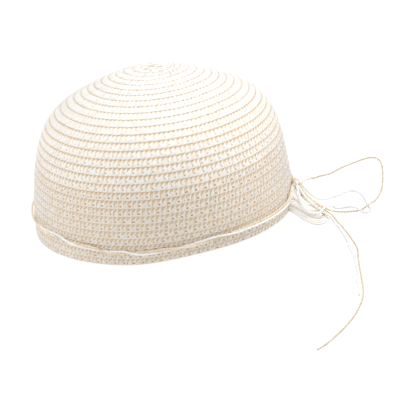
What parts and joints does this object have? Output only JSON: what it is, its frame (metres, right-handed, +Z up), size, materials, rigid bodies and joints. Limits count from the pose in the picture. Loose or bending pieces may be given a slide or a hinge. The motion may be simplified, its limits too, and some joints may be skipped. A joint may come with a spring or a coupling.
{
  "type": "straw sun hat",
  "caption": "Close-fitting straw sun hat of coiled braid with a twisted tie cord round its rim, knotted above a small turned-out tongue at the back.",
  "frame": {"origin": "centre of the hat's footprint, on the surface that it rests on", "axes": "+Z up, +X to the back of the hat where the knot and the tongue are, +Y to the wearer's right"},
  "size_m": [0.2526, 0.2985, 0.12],
  "materials": {
    "straw": "matt braided paper straw, ivory mixed with tan",
    "natural_yarn": "matt twisted paper yarn, cream flecked with tan",
    "white_yarn": "matt twisted yarn, off-white"
  },
  "bodies": {
    "root": {"crown": "straw", "brim": "straw", "band_natural": "natural_yarn", "band_white": "white_yarn", "knot": "natural_yarn", "loop_natural": "natural_yarn", "loop_white": "white_yarn", "tail_natural": "natural_yarn", "tail_white": "white_yarn"}
  },
  "joints": []
}
